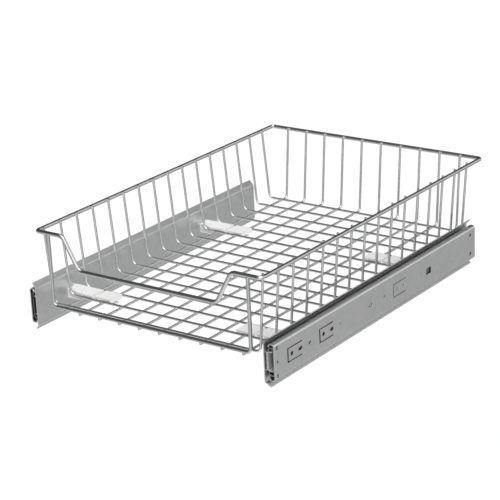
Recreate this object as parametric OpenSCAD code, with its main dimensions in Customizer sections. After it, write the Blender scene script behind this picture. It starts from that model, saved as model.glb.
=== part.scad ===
// Pull-out wire basket for a kitchen cabinet, on a pair of ball-bearing runners.
// +Y points into the cabinet, +X to the right, +Z up. The origin is at the
// bottom centre of the closed basket's bounding box. All sizes are in millimetres.

/* [Wire mesh] */
// Distance between neighbouring mesh wires, the same both ways
mesh_pitch = 30; // [24:0.5:36]
// Number of U-shaped cross wires, front to back
cross_count = 16; // [12:1:16]
// Number of lengthwise wires, left to right
long_count = 10; // [4:2:10]
// Diameter of the mesh wires
wire_d = 3; // [2:0.1:3.4]
// Centre-line radius where a cross wire is bent
cross_bend_r = 7; // [4:0.5:12]
// Centre-line radius where a lengthwise wire is bent
long_bend_r = 5.5; // [4:0.5:12]
// Width of the flat floor, between the bend points of a cross wire
floor_w = 304; // [300:1:308]
// Reach of the floor behind the last cross wire, to the bend of the back wall
floor_back_reach = 16.5; // [12:0.5:25]
// How far the front ends of the lengthwise wires reach past the frame's axis
stub_reach = 1.25; // [0:0.25:6]
// How deep welded wires are set into each other
weld_set = 0.15; // [0:0.05:0.25]

/* [Rim and front frame] */
// Diameter of the rim wire
rim_d = 5; // [4:0.25:6]
// Width of the rim, axis to axis
rim_w = 328; // [322:0.5:329]
// Height of the rim's axis over the axis of the floor's cross wires
rim_h = 93; // [70:1:140]
// Reach of the rim's axis in front of the first cross wire
rim_front_reach = 9; // [6:0.25:12]
// Reach of the rim's axis behind the last cross wire
rim_back_reach = 30.5; // [24:0.5:45]
// Centre-line radius of the rim's four corners
rim_corner_r = 5; // [4:0.5:8]
// Centre-line radius of the bends of the handle dip
dip_bend_r = 10; // [6:0.5:16]
// Width of the handle dip at its low run, between bend points
dip_low_w = 202; // [120:1:220]
// Width of the handle dip at the rim, between bend points
dip_top_w = 247; // [226:1:270]
// Depth of the handle dip
dip_depth = 40.5; // [25:0.5:55]
// How far the wire ends stand over the rim's axis
wire_end_rise = 2.25; // [1:0.25:5]
// Diameter of the front frame wire
frame_d = 4.5; // [4:0.25:6]
// Width of the front frame at the rim, axis to axis
frame_top_w = 291.5; // [286:0.5:300]
// Width of the front frame at the floor, between bend points
frame_low_w = 291; // [284:0.5:300]
// Centre-line radius of the front frame's two bends
frame_bend_r = 6; // [5:0.5:16]

/* [Runners] */
// Width over both runners, which is the inside width that they are screwed into
overall_w = 360; // [359:0.5:364]
// Length of the cabinet member
member_len = 448; // [440:1:500]
// Height of the cabinet member
runner_h = 44.5; // [42:0.5:46]
// Thickness of a whole runner with the side profile
runner_t = 12.7; // [12.7:0.05:13.2]
// Sheet thickness of the three runner members
member_t = 1.1; // [0.9:0.05:1.15]
// Outer bend radius of the cabinet member's long edges
member_corner_r = 3.4; // [2:0.1:3.5]
// Outer bend radius of the middle and basket members
inner_corner_r = 2.4; // [1.6:0.1:2.8]
// Diameter of the bearing balls
ball_d = 4; // [3.6:0.1:4.1]
// Free play between a ball and its race
race_play = 0.05; // [0.03:0.01:0.08]
// Side play between the flat webs of pieces that slide past each other
web_play = 0.3; // [0.2:0.05:0.35]
// How far the front of the side profile stands in front of the first cross wire
runner_lead = 16; // [10:0.5:24]
// How far the cabinet member's front lies behind the side profile's front
member_setback = 3; // [0:0.25:4]
// Full travel of the basket
travel = 450; // [400:5:450]

/* [Ball cages] */
// Length of a ball cage
cage_len = 200; // [160:1:205]
// Sheet thickness of a ball cage
cage_t = 0.5; // [0.4:0.05:0.6]
// Number of balls in a row
ball_count = 10; // [6:1:16]
// Play between a ball and its pocket
pocket_play = 0.15; // [0.05:0.05:0.3]

/* [Side profile] */
// Length of the side profile
profile_len = 450; // [440:1:500]
// Height of the side profile over its two bevelled edges
profile_h = 60.4; // [58:0.2:64]
// Rise of each bevelled edge
bevel = 7.2; // [5:0.2:8]
// Lean of the bevelled edges from upright
bevel_angle = 45; // [30:1:50]
// Sheet thickness of the side profile
profile_t = 1.2; // [0.8:0.1:1.3]
// Inner radius of the side profile's bends
profile_bend_r = 1; // [0.5:0.1:1.5]
// How far the front ends of the bevelled edges are cut back
nose_cut = 3; // [1:0.25:5]
// Height of the floor's cross wires over the runner's centre line
floor_over_runner = 3.5; // [2:0.25:6]

/* [Brackets] */
// Mesh gaps, counted from the front, that the front and rear brackets sit in
bracket_gaps = [1, 10];
// Free play between a bracket and the cross wires beside it
bracket_play = 2; // [1:0.25:4]
// Height of the deck over the axis of the floor's cross wires
deck_rise = 3; // [2.5:0.25:4]
// Thickness of the deck
deck_t = 2.2; // [1.6:0.1:2.6]
// Reach of the first pad past the first lengthwise wire
pad_a_over = 12.2; // [8:0.2:13]
// Radius of the sweep that cuts the first pad back towards the side profile
pad_sweep_r = 30; // [24:0.5:36]
// Distance from the side profile to where that sweep starts
pad_sweep_start = 27.3; // [24:0.1:29]
// Width of the groove between the two pads
pad_gap = 4; // [2:0.25:6]
// Reach of the second pad past the second lengthwise wire
pad_b_over = 11.2; // [8:0.2:13]
// Depth of the nose at the end of the second pad
nose_drop = 5.3; // [4:0.1:6]
// Width of the foot at the side profile, which is also the width of the jaws
foot_w = 10; // [8:0.5:12]
// Length of the foot's lower leg
foot_len = 18; // [12:0.5:20]
// Length of the foot's upper arm
foot_arm_len = 12; // [8:0.5:16]
// Drop of the foot below the axis of the floor's cross wires
foot_drop = 9.8; // [8:0.2:12]
// Wall thickness of the foot, the jaws and the link between the pads
clip_t = 1.6; // [1.2:0.1:2.2]
// Play between a lengthwise wire and the jaw under it
jaw_play = 0.1; // [0.05:0.05:0.3]
// Diameter of the peg that holds a bracket in the side profile
peg_d = 5; // [4:0.25:6]

/* [Hidden] */
$fn = 48;
eps = 0.01;

// a bent wire is a hair thinner in its bends, and its straights lap into them
bend_thinning = 0.02;
bend_lap = 0.05;

// heights and depths of the frame that everything is placed from
half_w = overall_w / 2;
runner_z = profile_h / 2;
floor_z = runner_z + floor_over_runner;
rim_z = floor_z + rim_h;
mesh_len = (cross_count - 1) * mesh_pitch;
depth = runner_lead + mesh_len + rim_back_reach + rim_d / 2;
front_y = -depth / 2;
mesh_y = front_y + runner_lead;
rim_front_y = mesh_y - rim_front_reach;
rim_back_y = mesh_y + mesh_len + rim_back_reach;
member_y = front_y + member_setback;

// welded wires: distance between the axes of two crossing wires
weld_mesh = wire_d - weld_set;
weld_rim = (rim_d + wire_d) / 2 - weld_set;
long_z = floor_z - weld_mesh;
frame_z = long_z + (frame_d + wire_d) / 2 - weld_set;

// runner cross-section, measured from the cabinet's side (u) and from its centre line (z)
race_r = ball_d / 2 + race_play;
race_out = race_r + member_t;
cage_u = member_t + web_play;
middle_u = cage_u + cage_t + web_play;
outer_ball_u = middle_u + race_out;
outer_ball_z = runner_h / 2 - race_out;
inner_ball_u = middle_u + member_t + web_play + race_out;
inner_ball_z = outer_ball_z - 2 * race_r - member_t;
profile_u = runner_t - profile_t;
inner_web_u = profile_u - member_t;
inner_cage_u = middle_u + member_t + web_play;
lip_angle = -25;
ridge_angle = 45;
side_face = half_w - runner_t;

// how far the middle members and the ball cages run when the basket is out
middle_travel = travel / 2;
cage_travel = travel / 4;
member_inset = 2;
bumper_len = 6;
middle_len = member_len - member_inset - bumper_len - web_play;
cage_front = member_inset + cage_travel + 10;
ball_pitch = cage_len / ball_count;

// tongues cut free in the cabinet member's web, from its front end
tab_fronts = [25, 89, 249];
tab_slits = [2.3, 2.3, 1.5];
tab_len = 28;
tab_h = 17.8;
tab_side_slit = 1.5;
tab_relief_r = 1;

// round screw holes, lengthwise screw slots and small round holes of the cabinet member
screw_y = [34, 98];
screw_r = 2.7;
slot_y = [50.5, 114.9, 197.8];
slot_len = [8.5, 7.5, 9];
slot_r = 2.2;
small_y = [133, 229, 273, 314];
small_r = [1.2, 1.8, 1.3, 1.2];
rear_hole_y = member_len - 11.6;
rear_hole_z = 12.4;
rear_hole_r = 2.2;

// odd cut-outs of the cabinet member: distance from its front, length and height
slanted_slot_y = 69.7;
slanted_slot_len = 5;
slanted_slot_r = 1.5;
slanted_slot_angle = 30;
upright_slit_y = 258;
upright_slit_h = 6;
upright_slit_w = 1.2;
window_y = 332;
window_z = -1;
window_len = 12;
window_h = 8.3;
end_slot_y = 6;
end_slot_z = 16.7;
end_slot_w = 3;
end_slot_h = 5.2;

// bracket, measured inwards from the side profile's face
first_wire_a = side_face + long_x(0);
pad_a_end = first_wire_a + pad_a_over;
pad_b_start = pad_a_end + pad_gap;
bracket_len = first_wire_a + mesh_pitch + pad_b_over;
bracket_half = (mesh_pitch - wire_d) / 2 - bracket_play;
link_inset = 2;
groove_depth = 4;
jaw_back = 10.3;
jaw_front = 7.7;
nose_t = 2;
dimple_a = 9.6;
dimple_y = 2.5;
dimple_r = 2.5;
dimple_depth = 0.8;

function cross_y(i) = mesh_y + i * mesh_pitch;
function long_x(j) = (j - (long_count - 1) / 2) * mesh_pitch;
function bracket_y(k) = cross_y(bracket_gaps[k]) + mesh_pitch / 2;
function two_digits(n) = n < 10 ? str("0", n) : str(n);
function cross_name(i) = str("cross_wire_", two_digits(i + 1));
function long_name(j) = str("lengthwise_wire_", two_digits(j + 1));

// ---------------------------------------------------------------- bent wire

function unit(v) = v / norm(v);
function turn(a, b, c) = acos(max(-1, min(1, unit(b - a) * unit(c - b))));
function cut_back(a, b, c, r) = r * tan(turn(a, b, c) / 2);

// one straight stretch of round wire
module straight(a, b, d) {
    v = b - a;
    translate(a)
        rotate([0, acos(v.z / norm(v)), atan2(v.y, v.x)])
            cylinder(h = norm(v), d = d);
}

// one bend of round wire at corner b, between the directions a-b and b-c
module bend(a, b, c, r, d) {
    u = unit(b - a);
    w = unit(c - b);
    out = -unit(w - (w * u) * u);
    side = cross(out, u);
    centre = b - u * cut_back(a, b, c, r) - out * r;
    multmatrix([[out.x, u.x, side.x, centre.x],
                [out.y, u.y, side.y, centre.y],
                [out.z, u.z, side.z, centre.z],
                [0, 0, 0, 1]])
        rotate_extrude(angle = turn(a, b, c))
            translate([r, 0]) circle(d = d);
}

// a round wire along the corner points, with one radius per corner: a radius of 0
// is a cut end. The last point of a closed wire joins the first.
module bent_wire(points, radii, d, closed = false) {
    n = len(points);
    back = [for (i = [0 : n - 1])
        radii[i] == 0 ? 0
            : cut_back(points[(i + n - 1) % n], points[i], points[(i + 1) % n], radii[i]) - bend_lap];
    union() {
        for (i = [0 : n - (closed ? 1 : 2)]) {
            a = points[i];
            b = points[(i + 1) % n];
            straight(a + unit(b - a) * back[i], b - unit(b - a) * back[(i + 1) % n], d);
        }
        for (i = [0 : n - 1])
            if (radii[i] > 0)
                bend(points[(i + n - 1) % n], points[i], points[(i + 1) % n], radii[i], d - bend_thinning);
    }
}

// ---------------------------------------------------------------- mesh, rim and frame

// U-shaped cross wire: floor run with two legs that lean out to the rim's inner side
module cross_wire(i) {
    lean = atan((rim_w / 2 - weld_rim - floor_w / 2) / rim_h);
    leg_x = rim_w / 2 - weld_rim / cos(lean);
    corner = [floor_w / 2, cross_y(i), floor_z];
    at_rim = [leg_x, cross_y(i), rim_z];
    tip = at_rim + unit(at_rim - corner) * wire_end_rise;
    color("gainsboro")
        bent_wire([[-tip.x, tip.y, tip.z], [-corner.x, corner.y, corner.z], corner, tip],
                  [0, cross_bend_r, cross_bend_r, 0], wire_d);
}

// L-shaped lengthwise wire: floor run under the cross wires, then up to the back of the rim
module long_wire(j) {
    corner_y = mesh_y + mesh_len + floor_back_reach;
    lean = atan((rim_back_y - weld_rim - corner_y) / (rim_z - long_z));
    corner = [long_x(j), corner_y, long_z];
    at_rim = [long_x(j), rim_back_y - weld_rim / cos(lean), rim_z];
    tip = at_rim + unit(at_rim - corner) * wire_end_rise;
    color("gainsboro")
        bent_wire([[long_x(j), rim_front_y - stub_reach, long_z], corner, tip],
                  [0, long_bend_r, 0], wire_d);
}

// rim: one closed loop of thick wire with a dip for the hand at the front
module rim_wire() {
    low_z = rim_z - dip_depth;
    right = [[rim_w / 2, rim_back_y, rim_z], [rim_w / 2, rim_front_y, rim_z],
             [dip_top_w / 2, rim_front_y, rim_z], [dip_low_w / 2, rim_front_y, low_z]];
    radii = [rim_corner_r, rim_corner_r, dip_bend_r, dip_bend_r];
    left = [for (k = [3 : -1 : 0]) [-right[k].x, right[k].y, right[k].z]];
    turned = [for (k = [3 : -1 : 0]) radii[k]];
    color("silver") bent_wire(concat(right, left), concat(radii, turned), rim_d, closed = true);
}

// front frame: a U of thick wire under the rim, with its bar across the mesh ends
module front_frame_wire() {
    top = [frame_top_w / 2, rim_front_y, rim_z - rim_d / 2 + weld_set];
    low = [frame_low_w / 2, rim_front_y, frame_z];
    color("silver")
        bent_wire([[-top.x, top.y, top.z], [-low.x, low.y, low.z], low, top],
                  [0, frame_bend_r, frame_bend_r, 0], frame_d);
}

// ---------------------------------------------------------------- runner members

// part of a ring, from angle a0 to a1 (less than half a turn)
module arc_band(centre, r, t, a0, a1) {
    far = 4 * (r + t);
    mid = (a0 + a1) / 2;
    translate(centre) intersection() {
        difference() {
            circle(r = r + t);
            circle(r = r);
        }
        polygon([[0, 0], far * [cos(a0), sin(a0)], far * [cos(mid), sin(mid)], far * [cos(a1), sin(a1)]]);
    }
}

// a rectangle between two corners
module plate(u0, z0, u1, z1) {
    translate([u0, z0]) square([u1 - u0, z1 - z0]);
}

// the same shape above and below the runner's centre line
module both_edges() {
    children();
    mirror([0, 1]) children();
}

// cabinet member: a C with a ball race under each long edge
module cabinet_section() {
    r = member_corner_r;
    h = runner_h / 2;
    plate(0, -h + r, member_t, h - r);
    both_edges() {
        arc_band([r, h - r], r - member_t, member_t, 90, 180);
        plate(r, h - member_t, outer_ball_u, h);
        arc_band([outer_ball_u, outer_ball_z], race_r, member_t, lip_angle, 90);
    }
}

// middle member: outer races on its flanges' outside, inner races on their inside
module middle_section() {
    flange_z = outer_ball_z - race_r;
    r = inner_corner_r;
    plate(middle_u, -flange_z + r, middle_u + member_t, flange_z - r);
    both_edges() {
        arc_band([middle_u + r, flange_z - r], r - member_t, member_t, 90, 180);
        plate(middle_u + r, flange_z - member_t, inner_ball_u, flange_z);
        arc_band([outer_ball_u, outer_ball_z], race_r, member_t, 270 - ridge_angle, 270);
        arc_band([inner_ball_u, inner_ball_z], race_r, member_t, lip_angle, 90);
    }
}

// basket member: a C that faces the cabinet and runs on the inner ball rows
module basket_section() {
    flange_z = inner_ball_z - race_r;
    r = inner_corner_r;
    web_out = inner_web_u + member_t;
    plate(inner_web_u, -flange_z + r, web_out, flange_z - r);
    both_edges() {
        arc_band([web_out - r, flange_z - r], r - member_t, member_t, 0, 90);
        plate(inner_ball_u, flange_z - member_t, web_out - r, flange_z);
        arc_band([inner_ball_u, inner_ball_z], race_r, member_t, 270 - ridge_angle, 270);
    }
}

// runs a runner's cross-section along y, on the left of the cabinet
module run_along(y0, length) {
    translate([-half_w, y0 + length, runner_z])
        rotate([90, 0, 0])
            linear_extrude(length) children();
}

// a drill through the webs of the left runner, at y from the cabinet member's front
module web_drill(y, z, r) {
    translate([-half_w - eps, member_y + y, runner_z + z])
        rotate([0, 90, 0]) cylinder(r = r, h = runner_t + 2 * eps);
}

// a punch through the cabinet member's web
module web_punch(y, z, length, height) {
    translate([-half_w - eps, member_y + y - length / 2, runner_z + z - height / 2])
        cube([member_t + 2 * eps, length, height]);
}

// a round-ended slot through the cabinet member's web, slanted from lengthwise
module web_slot(y, z, r, length, slant = 0) {
    run = length / 2 - r;
    translate([-half_w - eps, member_y + y, runner_z + z]) rotate([slant, 0, 0]) {
        for (s = [-1, 1])
            translate([0, s * run, 0]) rotate([0, 90, 0]) cylinder(r = r, h = member_t + 2 * eps);
        translate([0, -run, -r]) cube([member_t + 2 * eps, 2 * run, 2 * r]);
    }
}

// a tongue of the web cut free on three sides, with a round relief where each cut ends
module tongue_cut(y, slit) {
    side_z = (tab_h - tab_side_slit) / 2;
    web_punch(y + slit / 2, 0, slit, tab_h);
    for (s = [-1, 1]) {
        web_punch(y + tab_len / 2, s * side_z, tab_len, tab_side_slit);
        web_drill(y + tab_len, s * side_z, tab_relief_r);
    }
}

module cabinet_member_left() {
    difference() {
        run_along(member_y, member_len) cabinet_section();
        for (k = [0 : 2]) tongue_cut(tab_fronts[k], tab_slits[k]);
        for (y = screw_y) web_drill(y, 0, screw_r);
        for (k = [0 : 2]) web_slot(slot_y[k], 0, slot_r, slot_len[k]);
        for (k = [0 : 3]) web_drill(small_y[k], 0, small_r[k]);
        for (s = [-1, 1]) web_drill(rear_hole_y, s * rear_hole_z, rear_hole_r);
        web_slot(slanted_slot_y, 0, slanted_slot_r, slanted_slot_len, slanted_slot_angle);
        web_punch(upright_slit_y, 0, upright_slit_w, upright_slit_h);
        web_punch(window_y, window_z, window_len, window_h);
        for (s = [-1, 1]) web_punch(end_slot_y, s * end_slot_z, end_slot_w, end_slot_h);
        web_punch(end_slot_y, 0, end_slot_w, end_slot_h / 2);
    }
}

module middle_member_left() {
    run_along(member_y + member_inset, middle_len) middle_section();
}

module basket_member_left() {
    difference() {
        run_along(member_y + member_inset, middle_len) basket_section();
        peg_holes(eps);
    }
}

// rubber stop at the rear of the cabinet member
module rear_bumper_left() {
    run_along(member_y + member_len - bumper_len, bumper_len)
        plate(member_t, -runner_h / 5, middle_u + 3 * member_t, runner_h / 5);
}

// ---------------------------------------------------------------- cages and balls

module ball_row(u, z, y0) {
    for (k = [0 : ball_count - 1])
        translate([-half_w + u, y0 + (k + 0.5) * ball_pitch, runner_z + z])
            sphere(r = ball_d / 2);
}

module cage_pockets(u, z, y0) {
    for (k = [0 : ball_count - 1])
        translate([-half_w + u, y0 + (k + 0.5) * ball_pitch, runner_z + z - ball_d])
            cylinder(r = ball_d / 2 + pocket_play, h = 2 * ball_d);
}

// a ball cage: a thin strip with a flange through each ball row, notched for the balls
module cage(web_u, u, z) {
    y0 = member_y + cage_front;
    reach = u + ball_d / 4;
    top = z + cage_t / 2;
    difference() {
        run_along(y0, cage_len) difference() {
            plate(web_u, -top, reach, top);
            plate(web_u + cage_t, cage_t - top, reach + eps, top - cage_t);
        }
        for (s = [-1, 1]) cage_pockets(u, s * z, y0);
    }
}

module cage_balls(u, z) {
    for (s = [-1, 1]) ball_row(u, s * z, member_y + cage_front);
}

// ---------------------------------------------------------------- side profile

// side profile: an upright web with both long edges bevelled over the runner
module profile_section() {
    r = profile_bend_r;
    bend_z = profile_h / 2 - bevel;
    strip = (bevel - (r + profile_t) * sin(bevel_angle)) / cos(bevel_angle);
    plate(profile_u, -bend_z, runner_t, bend_z);
    both_edges() translate([profile_u - r, bend_z]) {
        arc_band([0, 0], r, profile_t, 0, bevel_angle);
        rotate(bevel_angle) translate([r, -eps]) square([profile_t, strip + eps]);
    }
}

// the front corner that is cut off a bevelled edge, from its bend to its tip
module nose_corner(upper) {
    bend_z = profile_h / 2 - bevel;
    translate([-half_w - eps, 0, runner_z]) mirror([0, 0, 1 - upper])
        rotate([90, 0, 90]) linear_extrude(runner_t + 2 * eps)
            polygon([[front_y - eps, bend_z], [front_y, bend_z], [front_y + nose_cut, profile_h / 2],
                     [front_y + nose_cut, profile_h / 2 + 1], [front_y - eps, profile_h / 2 + 1]]);
}

module side_profile_left() {
    difference() {
        run_along(front_y, profile_len) profile_section();
        for (s = [0, 1]) nose_corner(s);
        peg_holes(eps);
    }
}

// ---------------------------------------------------------------- brackets

// the holes for the pegs of both left brackets, on the runner's centre line
module peg_holes(play) {
    for (k = [0, 1])
        translate([-side_face - profile_t - member_t - eps, bracket_y(k), runner_z])
            rotate([0, 90, 0]) cylinder(d = peg_d + 2 * play, h = profile_t + member_t + 2 * eps);
}

// a box in bracket coordinates: a inwards from the side profile, y about the middle, z from the floor
module block(a0, a1, half, z0, z1) {
    translate([a0, -half, z0]) cube([a1 - a0, 2 * half, z1 - z0]);
}

// first pad, swept back on its front side towards the side profile, with a dimple on top
module pad_a() {
    sweep_y = pad_sweep_r - bracket_half;
    difference() {
        translate([0, 0, deck_rise - deck_t]) linear_extrude(deck_t) difference() {
            translate([0, -bracket_half]) square([pad_a_end, 2 * bracket_half]);
            difference() {
                translate([-eps, -bracket_half - eps])
                    square([pad_sweep_start + eps, 2 * bracket_half]);
                translate([pad_sweep_start, sweep_y]) circle(r = pad_sweep_r);
            }
        }
        translate([dimple_a, dimple_y, deck_rise - dimple_depth])
            cylinder(r = dimple_r, h = dimple_depth + eps);
    }
}

// foot at the side profile: a C that is open to the basket's middle
module foot(under) {
    block(0, clip_t, foot_w / 2, -foot_drop, deck_rise - dimple_depth);
    block(0, foot_len, foot_w / 2, -foot_drop, clip_t - foot_drop);
    block(0, foot_arm_len, foot_w / 2, under, deck_rise - dimple_depth);
}

// a jaw under a lengthwise wire, hung from the deck on the side profile's side of the wire
module jaw(a0, a1, under) {
    top = -weld_mesh - wire_d / 2 - jaw_play;
    block(a0, a1, foot_w / 2, top - clip_t, top);
    block(a0, a0 + clip_t, foot_w / 2, top - clip_t, under + eps);
}

// link under the groove between the two pads
module pad_link(under) {
    half = bracket_half - link_inset;
    low = deck_rise - groove_depth - clip_t;
    block(pad_a_end - clip_t, pad_b_start + clip_t, half, low, low + clip_t);
    block(pad_a_end - clip_t, pad_a_end, half, low, under + eps);
    block(pad_b_start, pad_b_start + clip_t, half, low, under + eps);
}

module bracket_left(k) {
    under = deck_rise - deck_t;
    second = first_wire_a + mesh_pitch;
    color("whitesmoke")
        translate([-side_face, bracket_y(k), floor_z]) {
            pad_a();
            foot(under);
            jaw(first_wire_a - jaw_back, first_wire_a + jaw_front, under);
            pad_link(under);
            block(pad_b_start, bracket_len, bracket_half, under, deck_rise);
            block(bracket_len - nose_t, bracket_len, bracket_half, deck_rise - nose_drop, deck_rise);
            jaw(second - jaw_back, bracket_len, under);
            translate([-profile_t - member_t, 0, -floor_over_runner])
                rotate([0, 90, 0]) cylinder(d = peg_d, h = profile_t + member_t + clip_t / 2);
        }
}

// ---------------------------------------------------------------- pieces

module on_side(side) {
    if (side == "left") children();
    else mirror([1, 0, 0]) children();
}

for (side = ["left", "right"]) {
    color("darkgray") on_side(side) cabinet_member_left();
    color("dimgray") on_side(side) rear_bumper_left();
    color("lightgray") on_side(side) middle_member_left();
    color("lightgray") on_side(side) basket_member_left();
    color("silver") on_side(side) cage(cage_u, outer_ball_u, outer_ball_z);
    color("silver") on_side(side) cage(inner_cage_u, inner_ball_u, inner_ball_z);
    color("white") on_side(side) cage_balls(outer_ball_u, outer_ball_z);
    color("white") on_side(side) cage_balls(inner_ball_u, inner_ball_z);
    color("darkgray") on_side(side) side_profile_left();
    on_side(side) bracket_left(0);
    on_side(side) bracket_left(1);
}
rim_wire();
front_frame_wire();
for (i = [0 : cross_count - 1])
    cross_wire(i);
for (j = [0 : long_count - 1])
    long_wire(j);
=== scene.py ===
"""Pull-out wire basket for a kitchen cabinet, on a pair of ball-bearing runners."""
import math
import random
import bmesh
import bpy
from mathutils import Matrix, Vector


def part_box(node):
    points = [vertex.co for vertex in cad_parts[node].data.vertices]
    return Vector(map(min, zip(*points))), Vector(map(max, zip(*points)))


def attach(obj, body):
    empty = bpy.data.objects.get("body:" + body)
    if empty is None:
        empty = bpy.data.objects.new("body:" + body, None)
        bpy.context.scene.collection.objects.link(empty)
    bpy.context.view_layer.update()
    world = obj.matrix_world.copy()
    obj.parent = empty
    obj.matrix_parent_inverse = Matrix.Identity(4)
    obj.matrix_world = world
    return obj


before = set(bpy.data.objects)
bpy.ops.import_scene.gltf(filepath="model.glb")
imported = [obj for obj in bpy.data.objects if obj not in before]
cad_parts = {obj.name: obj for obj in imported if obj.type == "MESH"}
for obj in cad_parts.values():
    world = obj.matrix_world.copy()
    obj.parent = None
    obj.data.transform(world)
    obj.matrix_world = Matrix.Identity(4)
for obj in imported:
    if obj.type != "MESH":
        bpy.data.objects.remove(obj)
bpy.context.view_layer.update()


# --- Rim and front frame ------------------------------------------------------------------
# One closed loop of thick steel wire with a dip for the hand, and a U-shaped front frame
# welded under it. Both are cold-drawn wire, bent, welded and chrome-plated.

MM = 0.001


def linear(hex_value):
    """An sRGB hex colour as linear RGBA."""
    def channel(c):
        return c / 12.92 if c <= 0.04045 else ((c + 0.055) / 1.055) ** 2.4
    parts = [int(hex_value[i:i + 2], 16) / 255 for i in (0, 2, 4)]
    return [channel(c) for c in parts] + [1.0]


def new_material(name, **sockets):
    """A material with a Principled shader whose sockets are set to plain values."""
    material = bpy.data.materials.new(name)
    material.use_nodes = True
    shader = material.node_tree.nodes["Principled BSDF"]
    for key, value in sockets.items():
        shader.inputs[key.replace("_", " ")].default_value = value
    return material, material.node_tree, shader


def add_node(tree, kind, settings=None, inputs=None, links=None):
    """Adds a node: settings are its properties, inputs its values, links its incoming sockets."""
    node = tree.nodes.new(kind)
    for key, value in (settings or {}).items():
        setattr(node, key, value)
    for key, value in (inputs or {}).items():
        node.inputs[key].default_value = value
    for key, source in (links or {}).items():
        tree.links.new(source, node.inputs[key])
    return node


def finish_with(tree, shader, tone, haze, ripple=None):
    """Leads a finish's tone, haze and ripple into its shader."""
    tree.links.new(tone.outputs["Result"], shader.inputs["Base Color"])
    tree.links.new(haze.outputs["Result"], shader.inputs["Roughness"])
    if ripple is not None:
        tree.links.new(ripple.outputs["Normal"], shader.inputs["Normal"])


def dress(material, wanted):
    """Gives a material to every CAD node that the test wants."""
    for name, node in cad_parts.items():
        if wanted(name):
            node.data.materials.clear()
            node.data.materials.append(material)


# Bright chrome on thick drawn wire: it mirrors the room almost sharply. The plating clouds
# over in patches, and handling leaves scratches, drawn far coarser than they are so that
# they show.
PLATING_CLOUD, SCRATCH = 14 * MM, 1.2 * MM
bright_chrome, tree, shader = new_material("bright_chrome_on_drawn_wire", Metallic=1.0)
place = add_node(tree, "ShaderNodeTexCoord").outputs["Object"]
clouds = add_node(tree, "ShaderNodeTexNoise",
                  inputs={"Scale": 1 / PLATING_CLOUD, "Detail": 4.0}, links={"Vector": place})
tone = add_node(tree, "ShaderNodeMix", {"data_type": "RGBA"},
                {"A": linear("b6b8ba"), "B": linear("c6c6c7")},
                {"Factor": clouds.outputs["Fac"]})
scratches = add_node(tree, "ShaderNodeTexNoise",
                     inputs={"Scale": 1 / SCRATCH, "Detail": 2.0}, links={"Vector": place})
haze = add_node(tree, "ShaderNodeMapRange",
                inputs={"From Min": 0.35, "From Max": 0.75, "To Min": 0.1, "To Max": 0.22},
                links={"Value": scratches.outputs["Fac"]})
ripple = add_node(tree, "ShaderNodeBump", inputs={"Strength": 0.06, "Distance": 0.05 * MM},
                  links={"Height": scratches.outputs["Fac"]})
finish_with(tree, shader, tone, haze, ripple)
dress(bright_chrome, lambda name: name in ("rim_wire", "front_frame_wire"))


# --- Mesh wires ---------------------------------------------------------------------------
# 16 U-shaped cross wires and 10 L-shaped lengthwise wires of 3 mm drawn steel, resistance
# welded where they cross and chromed together with the rim.

# Satin chrome on thin wire: plated over the rough drawn skin, so it reflects more softly
# than the rim. The skin's grain is drawn coarser than it is, and the Bevel node rounds the
# look of the cut ends.
STREAK, DRAWN_SKIN, CUT_END = 4 * MM, 0.5 * MM, 0.6 * MM
satin_chrome, tree, shader = new_material("satin_chrome_on_mesh_wire", Metallic=1.0)
place = add_node(tree, "ShaderNodeTexCoord").outputs["Object"]
streaks = add_node(tree, "ShaderNodeTexNoise",
                   inputs={"Scale": 1 / STREAK, "Detail": 3.0}, links={"Vector": place})
tone = add_node(tree, "ShaderNodeMix", {"data_type": "RGBA"},
                {"A": linear("c4c5c6"), "B": linear("d8d8d8")},
                {"Factor": streaks.outputs["Fac"]})
skin = add_node(tree, "ShaderNodeTexNoise",
                inputs={"Scale": 1 / DRAWN_SKIN, "Detail": 2.0}, links={"Vector": place})
haze = add_node(tree, "ShaderNodeMapRange",
                inputs={"From Min": 0.3, "From Max": 0.7, "To Min": 0.2, "To Max": 0.3},
                links={"Value": skin.outputs["Fac"]})
round_end = add_node(tree, "ShaderNodeBevel", inputs={"Radius": CUT_END})
ripple = add_node(tree, "ShaderNodeBump", inputs={"Strength": 0.15, "Distance": 0.03 * MM},
                  links={"Height": skin.outputs["Fac"], "Normal": round_end.outputs["Normal"]})
finish_with(tree, shader, tone, haze, ripple)
dress(satin_chrome, lambda name: "_wire_" in name and name[-1].isdigit())


# --- Weld beads ---------------------------------------------------------------------------
# Small collars of steel that resistance welding squeezes out where two wires touch. They are
# chromed with the wires, so they catch the light as bright dots.

# Diameters of the rim and of the front frame, and how deep welded wires are set together
RIM_D, FRAME_D, WELD_SET = 5 * MM, 4.5 * MM, 0.15 * MM
# Half of a bead's size in x, y and z, and the least and most of it that a bead may have
FLOOR_BEAD = (2.0 * MM, 2.0 * MM, 0.9 * MM)
RIM_SIDE_BEAD = (1.2 * MM, 2.1 * MM, 2.2 * MM)
RIM_BACK_BEAD = (2.1 * MM, 1.2 * MM, 2.2 * MM)
FRAME_BAR_BEAD = (2.0 * MM, 1.8 * MM, 0.9 * MM)
FRAME_END_BEAD = (2.7 * MM, 2.7 * MM, 1.0 * MM)
LEAST, MOST = 0.9, 1.05
rng = random.Random(11)
beads = bmesh.new()


def add_bead(centre, radii):
    """A squashed, slightly uneven ball."""
    uneven = [radius * rng.uniform(LEAST, MOST) for radius in radii]
    flattened = Matrix.Diagonal((*uneven, 1.0))
    bmesh.ops.create_icosphere(beads, subdivisions=2, radius=1.0,
                               matrix=Matrix.Translation(centre) @ flattened)


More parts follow.
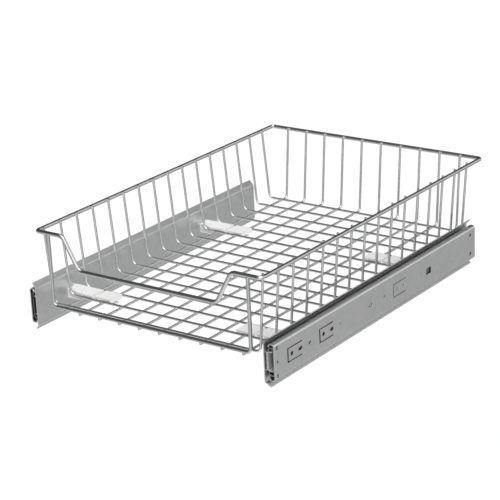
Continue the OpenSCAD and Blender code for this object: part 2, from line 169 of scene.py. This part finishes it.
names = sorted(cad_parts)
cross_boxes = [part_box(name) for name in names if name.startswith("cross_wire_")]
long_boxes = [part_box(name) for name in names if name.startswith("lengthwise_wire_")]
cross_ys = [(low[1] + high[1]) / 2 for low, high in cross_boxes]
long_xs = [(low[0] + high[0]) / 2 for low, high in long_boxes]
rim_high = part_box("rim_wire")[1]
frame_low, frame_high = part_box("front_frame_wire")
frame_y = (frame_low[1] + frame_high[1]) / 2
floor_joint_z = cross_boxes[0][0][2] + WELD_SET / 2
rim_z = rim_high[2] - RIM_D / 2
for y in cross_ys:
    for x in long_xs:
        add_bead((x, y, floor_joint_z), FLOOR_BEAD)
    for side in (-1, 1):
        add_bead((side * (rim_high[0] - RIM_D), y, rim_z), RIM_SIDE_BEAD)
for x in long_xs:
    add_bead((x, rim_high[1] - RIM_D, rim_z), RIM_BACK_BEAD)
    add_bead((x, frame_y, frame_low[2]), FRAME_BAR_BEAD)
for x in (frame_low[0] + FRAME_D / 2, frame_high[0] - FRAME_D / 2):
    add_bead((x, frame_y, frame_high[2]), FRAME_END_BEAD)
for face in beads.faces:
    face.smooth = True
bead_mesh = bpy.data.meshes.new("weld_beads")
beads.to_mesh(bead_mesh)
beads.free()
weld_beads = bpy.data.objects.new("weld_beads", bead_mesh)
bpy.context.scene.collection.objects.link(weld_beads)
bead_mesh.materials.append(bright_chrome)
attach(weld_beads, "basket")


# --- Runner members and side profiles -----------------------------------------------------
# Roll-formed steel strip: three nested members to a side, and a tall bevelled side profile
# on the innermost one, with both of them pierced for the brackets' pegs.

PATCH, ROLLING_LINE, STRETCH, EDGE_ROUND = 5 * MM, 1.5 * MM, 50, 0.5 * MM


def strip_steel(name, dull, bright, smooth, rough, metallic=1.0):
    """Rolled strip: patches between two tones, rubbed edges, and lines drawn out along the
    strip, which are coarser than the real ones so that they show."""
    material, tree, shader = new_material(name, Metallic=metallic)
    place = add_node(tree, "ShaderNodeTexCoord").outputs["Object"]
    patches = add_node(tree, "ShaderNodeTexVoronoi",
                       inputs={"Scale": 1 / PATCH}, links={"Vector": place})
    tone = add_node(tree, "ShaderNodeMix", {"data_type": "RGBA"},
                    {"A": linear(dull), "B": linear(bright)},
                    {"Factor": patches.outputs["Color"]})
    along = add_node(tree, "ShaderNodeMapping",
                     inputs={"Scale": (1, 1 / STRETCH, 1)}, links={"Vector": place})
    lines = add_node(tree, "ShaderNodeTexNoise",
                     inputs={"Scale": 1 / ROLLING_LINE, "Detail": 3.0},
                     links={"Vector": along.outputs["Vector"]})
    rounded = add_node(tree, "ShaderNodeBevel", inputs={"Radius": EDGE_ROUND})
    flat = add_node(tree, "ShaderNodeNewGeometry").outputs["True Normal"]
    turned = add_node(tree, "ShaderNodeVectorMath", {"operation": "DOT_PRODUCT"}, None,
                      {0: rounded.outputs["Normal"], 1: flat})
    edge = add_node(tree, "ShaderNodeMapRange",
                    inputs={"From Min": 0.98, "From Max": 0.75, "To Min": 0.0, "To Max": 0.25},
                    links={"Value": turned.outputs["Value"]})
    worn = add_node(tree, "ShaderNodeMix", {"data_type": "RGBA"}, {"B": linear("e2e2e2")},
                    {"Factor": edge.outputs["Result"], "A": tone.outputs["Result"]})
    haze = add_node(tree, "ShaderNodeMapRange",
                    inputs={"From Min": 0.3, "From Max": 0.7, "To Min": smooth, "To Max": rough},
                    links={"Value": lines.outputs["Fac"]})
    ripple = add_node(tree, "ShaderNodeBump", inputs={"Strength": 0.12, "Distance": 0.05 * MM},
                      links={"Height": lines.outputs["Fac"], "Normal": rounded.outputs["Normal"]})
    finish_with(tree, shader, worn, haze, ripple)
    return material


# Galvanised steel: satin grey with faint crystals of zinc a few millimetres across.
dress(strip_steel("galvanised_steel_strip", "c8c9ca", "d1d1d1", 0.3, 0.38),
      lambda name: name.endswith(("cabinet_member", "side_profile")))

# Middle members' steel: a guessed, glossy finish whose dark grey is painted shade. The holes
# of the cabinet member look nearly black, and the middle member is what shows behind them.
dress(strip_steel("steel_strip_dark_as_painted_shade", "7b7a78", "959492", 0.25, 0.4),
      lambda name: name.endswith("middle_member"))

# Matt zinc: a guessed finish that scatters light, so the web looks pale at the runner's front
# end, as it does on the real one.
dress(strip_steel("passivated_zinc_plated_strip", "c0c0c0", "cacaca", 0.4, 0.5, metallic=0.2),
      lambda name: name.endswith("basket_member"))


# --- Ball cages and balls -----------------------------------------------------------------
# Steel balls run above and below between each two members, kept apart by cages of thin
# punched strip. They are hidden inside the runner, so the cages' form and the number of
# balls are guessed.

# Cold-rolled strip: left bare and thinly oiled, greyer than the zinc.
dress(strip_steel("cold_rolled_steel_strip", "a6a5a2", "b8b7b4", 0.22, 0.35),
      lambda name: name.endswith("cage"))

# Polished bearing steel: ground and lapped, so it mirrors sharply, with a smear of grease.
SMEAR = 1.5 * MM
bearing_steel, tree, shader = new_material("polished_bearing_steel", Metallic=1.0)
place = add_node(tree, "ShaderNodeTexCoord").outputs["Object"]
smear = add_node(tree, "ShaderNodeTexNoise",
                 inputs={"Scale": 1 / SMEAR, "Detail": 2.0}, links={"Vector": place})
tone = add_node(tree, "ShaderNodeMix", {"data_type": "RGBA"},
                {"A": linear("b9b6ae"), "B": linear("dededf")},
                {"Factor": smear.outputs["Fac"]})
haze = add_node(tree, "ShaderNodeMapRange", inputs={"To Min": 0.05, "To Max": 0.2},
                links={"Value": smear.outputs["Fac"]})
ripple = add_node(tree, "ShaderNodeBump", inputs={"Strength": 0.04, "Distance": 0.02 * MM},
                  links={"Height": smear.outputs["Fac"]})
finish_with(tree, shader, tone, haze, ripple)
dress(bearing_steel, lambda name: name.endswith("balls"))


# --- Brackets -----------------------------------------------------------------------------
# Four white clips, each moulded in one piece. Their jaws hold the wires of the basket's
# floor, and a peg on each goes into the side profile and the innermost member.

# Moulded nylon: off-white and slightly waxy, with softly rounded edges. The spark-eroded
# grain from the mould is drawn coarser than it is so that it shows.
FLOW, MOULD_GRAIN, MOULD_ROUND = 18 * MM, 0.5 * MM, 0.5 * MM
nylon, tree, shader = new_material("moulded_nylon")
place = add_node(tree, "ShaderNodeTexCoord").outputs["Object"]
flow = add_node(tree, "ShaderNodeTexNoise",
                inputs={"Scale": 1 / FLOW, "Detail": 2.0}, links={"Vector": place})
tone = add_node(tree, "ShaderNodeMix", {"data_type": "RGBA"},
                {"A": linear("e6e6e5"), "B": linear("efefee")},
                {"Factor": flow.outputs["Fac"]})
grain = add_node(tree, "ShaderNodeTexNoise",
                 inputs={"Scale": 1 / MOULD_GRAIN, "Detail": 2.0}, links={"Vector": place})
haze = add_node(tree, "ShaderNodeMapRange", inputs={"To Min": 0.38, "To Max": 0.55},
                links={"Value": grain.outputs["Fac"]})
soft_edge = add_node(tree, "ShaderNodeBevel", inputs={"Radius": MOULD_ROUND})
ripple = add_node(tree, "ShaderNodeBump", inputs={"Strength": 0.2, "Distance": 0.05 * MM},
                  links={"Height": grain.outputs["Fac"], "Normal": soft_edge.outputs["Normal"]})
finish_with(tree, shader, tone, haze, ripple)
dress(nylon, lambda name: name.endswith("bracket"))


# --- Rear bumpers -------------------------------------------------------------------------
# A moulded block of black rubber at the rear of each cabinet member, which stops the sliding
# members. It is hidden from the front, and its form is guessed.

# Moulded rubber: matt and nearly black, greyer where its wax has bloomed.
BLOOM = 2 * MM
rubber, tree, shader = new_material("moulded_rubber")
place = add_node(tree, "ShaderNodeTexCoord").outputs["Object"]
bloom = add_node(tree, "ShaderNodeTexNoise",
                 inputs={"Scale": 1 / BLOOM, "Detail": 3.0}, links={"Vector": place})
tone = add_node(tree, "ShaderNodeMix", {"data_type": "RGBA"},
                {"A": linear("191919"), "B": linear("2a2a29")},
                {"Factor": bloom.outputs["Fac"]})
haze = add_node(tree, "ShaderNodeMapRange", inputs={"To Min": 0.6, "To Max": 0.85},
                links={"Value": bloom.outputs["Fac"]})
finish_with(tree, shader, tone, haze)
dress(rubber, lambda name: name.endswith("bumper"))


# --- Floor --------------------------------------------------------------------------------
# The white ground under the basket, made as a sheet of paper that glows evenly. The metal
# doesn't mirror it and it lights nothing: light from below is left to the pools.

# Lit white paper: an even white that hardly takes any shading.
REACH = 6.0
CORNERS = [(-REACH, -REACH, 0), (REACH, -REACH, 0), (REACH, REACH, 0), (-REACH, REACH, 0)]
floor_mesh = bpy.data.meshes.new("floor")
floor_mesh.from_pydata(CORNERS, [], [(0, 1, 2, 3)])
floor = bpy.data.objects.new("floor", floor_mesh)
bpy.context.scene.collection.objects.link(floor)
paper = new_material("lit_white_paper", Base_Color=linear("404040"), Roughness=0.9,
                     Emission_Color=linear("ffffff"), Emission_Strength=0.96)[0]
floor.data.materials.append(paper)
floor.visible_glossy = False
floor.visible_diffuse = False


# --- Light --------------------------------------------------------------------------------
# A dim studio with soft pools of light all round, which are fitted to the photograph and
# come from no known studio. Each has an azimuth (from the back, +Y, towards the right), an
# elevation and a spread in degrees, and a strength.

SURROUNDINGS = 0.01
POOLS = [(120, 70, 14, 4.7), (180, -75, 40, 1.2), (45, -50, 14, 1.05), (60, 10, 14, 1.0),
         (0, 80, 18, 0.7), (72, 45, 24, 0.65), (26, 0, 14, 0.5), (134, 20, 20, 1.7),
         (160, 5, 20, 0.5), (240, -25, 14, 0.45), (144, 45, 24, 0.3), (135, -50, 24, 0.3),
         (38, 16, 12, 0.5)]
world = bpy.data.worlds.new("studio")
bpy.context.scene.world = world
world.use_nodes = True
tree = world.node_tree
direction = add_node(tree, "ShaderNodeTexCoord").outputs["Generated"]
total = add_node(tree, "ShaderNodeValue").outputs["Value"]
total.default_value = SURROUNDINGS
for azimuth, elevation, spread, strength in POOLS:
    turn, lift = math.radians(azimuth), math.radians(elevation)
    centre = (math.sin(turn) * math.cos(lift), math.cos(turn) * math.cos(lift), math.sin(lift))
    sharpness = 1 / math.radians(spread) ** 2
    nearness = add_node(tree, "ShaderNodeVectorMath", {"operation": "DOT_PRODUCT"},
                        {1: centre}, {0: direction})
    fall = add_node(tree, "ShaderNodeMath", {"operation": "MULTIPLY_ADD"},
                    {1: sharpness, 2: -sharpness}, {0: nearness.outputs["Value"]})
    glow = add_node(tree, "ShaderNodeMath", {"operation": "EXPONENT"}, None,
                    {0: fall.outputs["Value"]})
    total = add_node(tree, "ShaderNodeMath", {"operation": "MULTIPLY_ADD"}, {1: strength},
                     {0: glow.outputs["Value"], 2: total}).outputs["Value"]
tree.links.new(total, tree.nodes["Background"].inputs["Strength"])
tree.nodes["Background"].inputs["Color"].default_value = (1, 1, 1, 1)
bpy.context.scene.view_settings.view_transform = "Standard"


# --- Camera -------------------------------------------------------------------------------
# Front right of the basket and above it, slightly rolled, with a long lens. Its place, angles
# and focal length are fitted to the photograph, which is 500 pixels wide.

camera_place = Vector((1303.5, -1791.2, 861.5)) * MM
AZIMUTH, ELEVATION, ROLL = (math.radians(angle) for angle in (36.657, 20.033, -2.848))
FOCAL_PX, FRAME_PX, SENSOR_MM, FARTHEST = 1885.5, 500, 36.0, 20
forward = Vector((-math.sin(AZIMUTH) * math.cos(ELEVATION),
                  math.cos(AZIMUTH) * math.cos(ELEVATION), -math.sin(ELEVATION)))
right = Vector((math.cos(AZIMUTH), math.sin(AZIMUTH), 0))
up = right.cross(forward)
right_rolled = math.cos(ROLL) * right + math.sin(ROLL) * up
up_rolled = math.cos(ROLL) * up - math.sin(ROLL) * right
camera = bpy.data.objects.new("camera", bpy.data.cameras.new("camera"))
bpy.context.scene.collection.objects.link(camera)
camera.data.sensor_width = SENSOR_MM
camera.data.sensor_fit = "HORIZONTAL"
camera.data.lens = FOCAL_PX / FRAME_PX * SENSOR_MM
camera.data.clip_end = FARTHEST
camera.matrix_world = Matrix([[right_rolled[i], up_rolled[i], -forward[i], camera_place[i]]
                              for i in range(3)] + [[0, 0, 0, 1]])
bpy.context.scene.camera = camera
